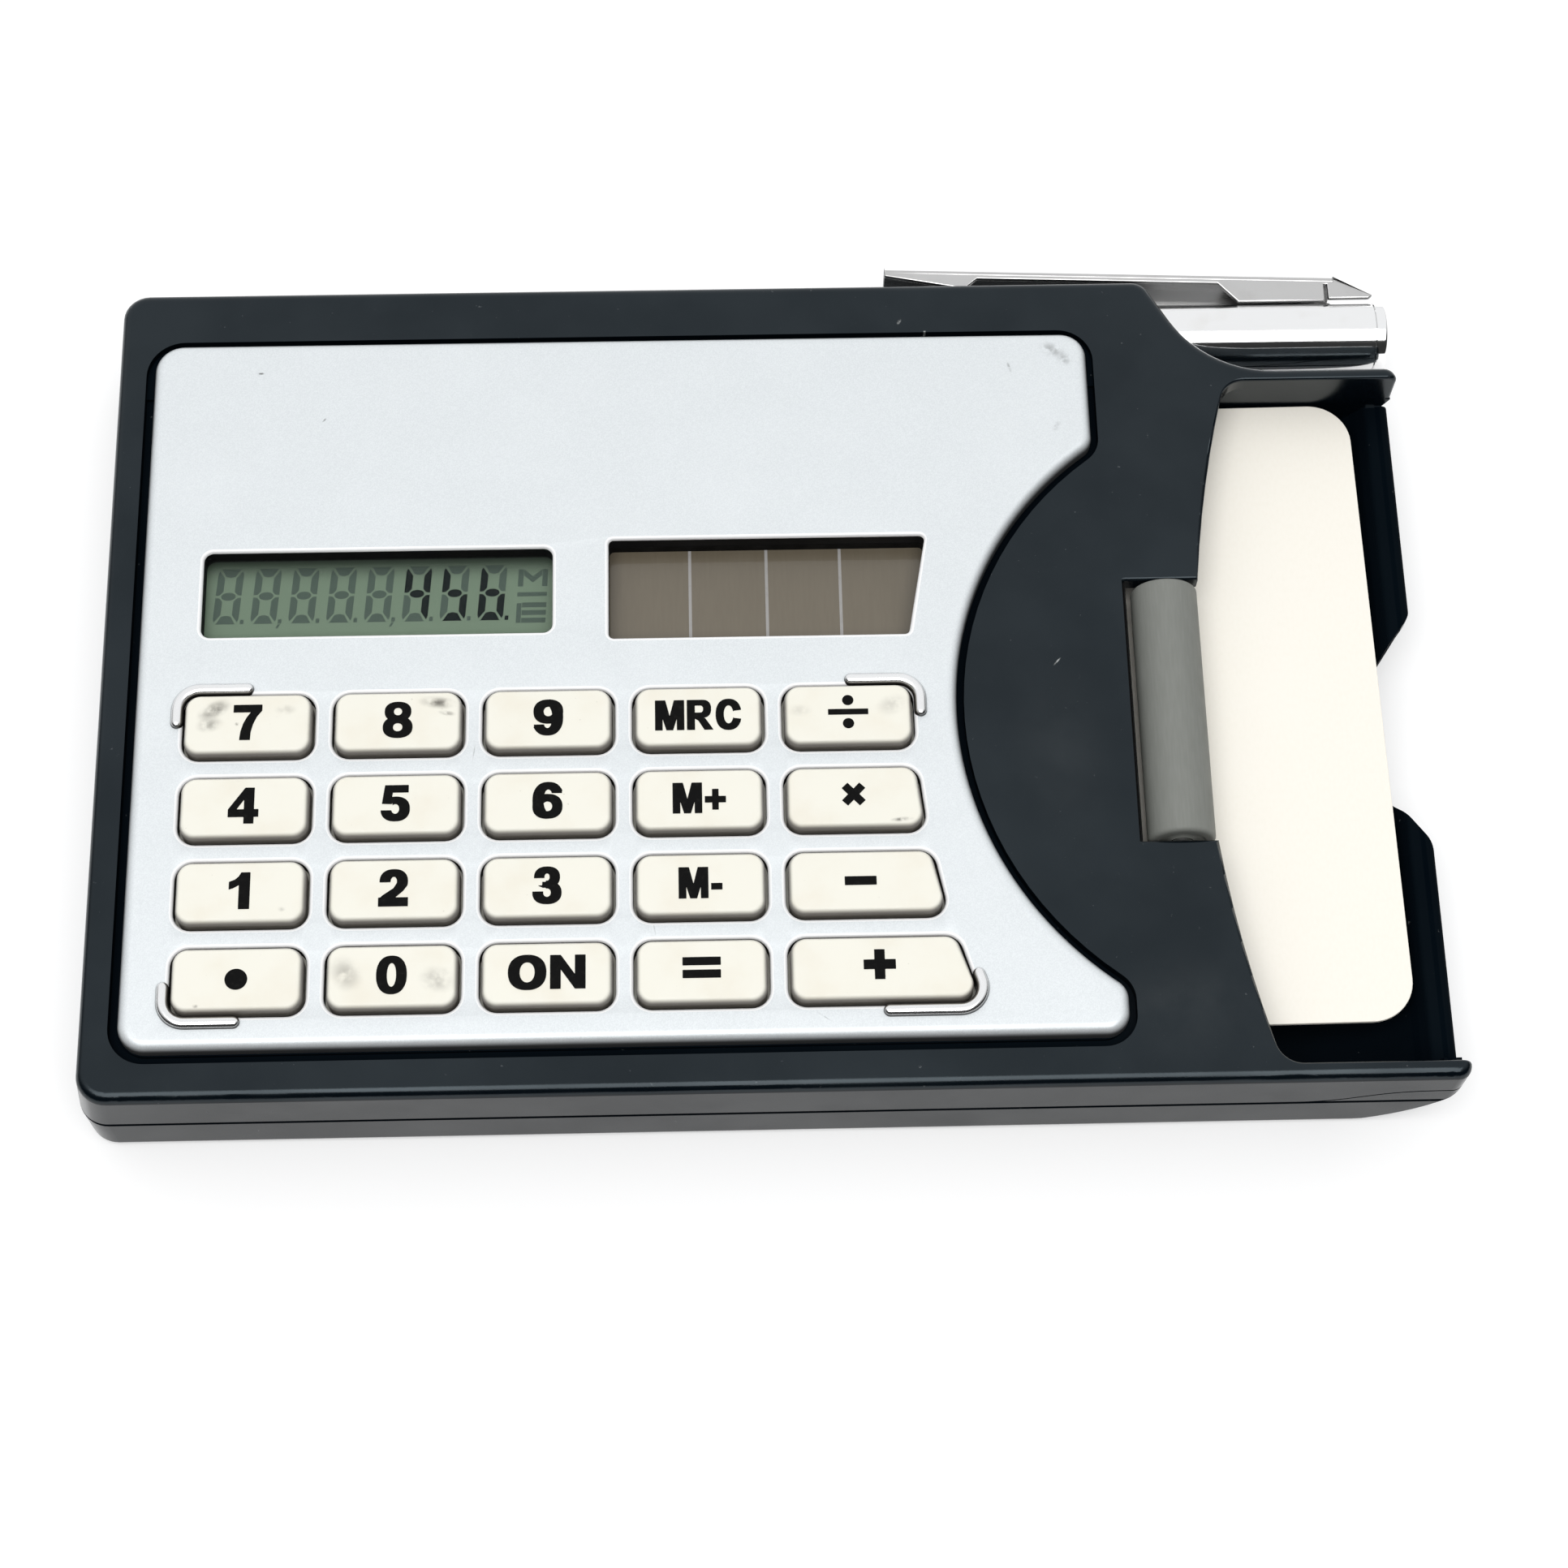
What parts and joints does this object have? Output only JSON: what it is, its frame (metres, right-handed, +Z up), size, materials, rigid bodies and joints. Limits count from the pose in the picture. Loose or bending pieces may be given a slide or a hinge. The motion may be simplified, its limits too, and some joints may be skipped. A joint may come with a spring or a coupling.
{
  "type": "pocket calculator with card dispenser and pen",
  "caption": "Slim pocket calculator set in the lid of a black business-card dispenser, with a thumb roller that feeds the cards and a chrome pen in a tunnel along the rear edge.",
  "frame": {"origin": "middle of the flat underside it rests on", "axes": "+X along the case towards the end where cards come out, +Y towards the pen at the rear, +Z up through the keys"},
  "size_m": [0.0996, 0.0678, 0.0122],
  "materials": {
    "case_black": "satin moulded black with a fine grain",
    "plate_silver": "silver paint on plastic",
    "key_cream": "satin cream plastic",
    "web_rubber": "translucent grey silicone",
    "board_green": "green solder mask",
    "pad_carbon": "printed carbon",
    "chip_epoxy": "glossy black epoxy",
    "display_glass": "grey-green reflective display under glass",
    "connector_rubber": "layered elastic strip",
    "solar_glass": "brown amorphous cell on glass",
    "pad_foam": "closed-cell foam",
    "lead_brass": "plain",
    "cell_steel": "nickel-plated",
    "contact_brass": "plated spring strip",
    "tray_plastic": "moulded black",
    "screw_steel": "zinc-plated",
    "roller_rubber": "matte grey",
    "axle_steel": "ground pin",
    "spring_steel": "blued strip",
    "card_paper": "smooth card stock",
    "pen_chrome": "polished",
    "clip_steel": "stamped strip, satin"
  },
  "bodies": {
    "case": {"base_shell": "case_black", "top_shell": "case_black", "faceplate": "plate_silver", "keypad_web": "web_rubber", "circuit_board": "board_green", "contact_pads": "pad_carbon", "driver_chip": "chip_epoxy", "lcd_panel": "display_glass", "lcd_connector": "connector_rubber", "solar_cell": "solar_glass", "solar_pad": "pad_foam", "solar_leads": "lead_brass", "button_cell": "cell_steel", "cell_contact_top": "contact_brass", "cell_contact_bottom": "contact_brass", "module_tray": "tray_plastic", "module_screws": "screw_steel", "case_screws": "screw_steel", "roller_axle": "axle_steel", "leaf_spring": "spring_steel"},
    "key_7": {"key_7": "key_cream"},
    "key_8": {"key_8": "key_cream"},
    "key_9": {"key_9": "key_cream"},
    "key_mrc": {"key_mrc": "key_cream"},
    "key_divide": {"key_divide": "key_cream"},
    "key_4": {"key_4": "key_cream"},
    "key_5": {"key_5": "key_cream"},
    "key_6": {"key_6": "key_cream"},
    "key_m_plus": {"key_m_plus": "key_cream"},
    "key_multiply": {"key_multiply": "key_cream"},
    "key_1": {"key_1": "key_cream"},
    "key_2": {"key_2": "key_cream"},
    "key_3": {"key_3": "key_cream"},
    "key_m_minus": {"key_m_minus": "key_cream"},
    "key_minus": {"key_minus": "key_cream"},
    "key_point": {"key_point": "key_cream"},
    "key_0": {"key_0": "key_cream"},
    "key_on": {"key_on": "key_cream"},
    "key_equals": {"key_equals": "key_cream"},
    "key_plus": {"key_plus": "key_cream"},
    "roller": {"roller": "roller_rubber"},
    "card": {"business_card": "card_paper"},
    "lift": {"lift_plate": "tray_plastic"},
    "pen": {"pen_barrel": "pen_chrome", "pen_nose": "pen_chrome", "pen_refill": "lead_brass", "pen_clip": "clip_steel", "pen_cap": "pen_chrome"}
  },
  "joints": [
    {"name": "key_7_press", "type": "slide", "parent": "case", "child": "key_7", "axis": [0, 0, -1], "range_m": [0, 0.0006], "stiffness_N_per_m": 250},
    {"name": "key_8_press", "type": "slide", "parent": "case", "child": "key_8", "axis": [0, 0, -1], "range_m": [0, 0.0006], "stiffness_N_per_m": 250},
    {"name": "key_9_press", "type": "slide", "parent": "case", "child": "key_9", "axis": [0, 0, -1], "range_m": [0, 0.0006], "stiffness_N_per_m": 250},
    {"name": "key_mrc_press", "type": "slide", "parent": "case", "child": "key_mrc", "axis": [0, 0, -1], "range_m": [0, 0.0006], "stiffness_N_per_m": 250},
    {"name": "key_divide_press", "type": "slide", "parent": "case", "child": "key_divide", "axis": [0, 0, -1], "range_m": [0, 0.0006], "stiffness_N_per_m": 250},
    {"name": "key_4_press", "type": "slide", "parent": "case", "child": "key_4", "axis": [0, 0, -1], "range_m": [0, 0.0006], "stiffness_N_per_m": 250},
    {"name": "key_5_press", "type": "slide", "parent": "case", "child": "key_5", "axis": [0, 0, -1], "range_m": [0, 0.0006], "stiffness_N_per_m": 250},
    {"name": "key_6_press", "type": "slide", "parent": "case", "child": "key_6", "axis": [0, 0, -1], "range_m": [0, 0.0006], "stiffness_N_per_m": 250},
    {"name": "key_m_plus_press", "type": "slide", "parent": "case", "child": "key_m_plus", "axis": [0, 0, -1], "range_m": [0, 0.0006], "stiffness_N_per_m": 250},
    {"name": "key_multiply_press", "type": "slide", "parent": "case", "child": "key_multiply", "axis": [0, 0, -1], "range_m": [0, 0.0006], "stiffness_N_per_m": 250},
    {"name": "key_1_press", "type": "slide", "parent": "case", "child": "key_1", "axis": [0, 0, -1], "range_m": [0, 0.0006], "stiffness_N_per_m": 250},
    {"name": "key_2_press", "type": "slide", "parent": "case", "child": "key_2", "axis": [0, 0, -1], "range_m": [0, 0.0006], "stiffness_N_per_m": 250},
    {"name": "key_3_press", "type": "slide", "parent": "case", "child": "key_3", "axis": [0, 0, -1], "range_m": [0, 0.0006], "stiffness_N_per_m": 250},
    {"name": "key_m_minus_press", "type": "slide", "parent": "case", "child": "key_m_minus", "axis": [0, 0, -1], "range_m": [0, 0.0006], "stiffness_N_per_m": 250},
    {"name": "key_minus_press", "type": "slide", "parent": "case", "child": "key_minus", "axis": [0, 0, -1], "range_m": [0, 0.0006], "stiffness_N_per_m": 250},
    {"name": "key_point_press", "type": "slide", "parent": "case", "child": "key_point", "axis": [0, 0, -1], "range_m": [0, 0.0006], "stiffness_N_per_m": 250},
    {"name": "key_0_press", "type": "slide", "parent": "case", "child": "key_0", "axis": [0, 0, -1], "range_m": [0, 0.0006], "stiffness_N_per_m": 250},
    {"name": "key_on_press", "type": "slide", "parent": "case", "child": "key_on", "axis": [0, 0, -1], "range_m": [0, 0.0006], "stiffness_N_per_m": 250},
    {"name": "key_equals_press", "type": "slide", "parent": "case", "child": "key_equals", "axis": [0, 0, -1], "range_m": [0, 0.0006], "stiffness_N_per_m": 250},
    {"name": "key_plus_press", "type": "slide", "parent": "case", "child": "key_plus", "axis": [0, 0, -1], "range_m": [0, 0.0006], "stiffness_N_per_m": 250},
    {"name": "roller_turn", "type": "hinge", "parent": "case", "child": "roller", "pos_m": [0.0302, -0.0039, 0.0092], "axis": [0, -1, 0], "range_deg": [-115.1, 1650.6]},
    {"name": "card_feed", "type": "slide", "parent": "case", "child": "card", "axis": [1, 0, 0], "range_m": [-0.005, 0.072]},
    {"name": "lift_press", "type": "slide", "parent": "case", "child": "lift", "axis": [0, 0, -1], "range_m": [0, 0.0032], "stiffness_N_per_m": 80, "springref_m": -0.002, "deforming": ["leaf_spring"]},
    {"name": "pen_draw", "type": "slide", "parent": "case", "child": "pen", "axis": [1, 0, 0], "range_m": [0, 0.096]}
  ],
  "couplings": [
    {"joint": "roller_turn", "follows": "card_feed", "rad_per_m": 400}
  ]
}
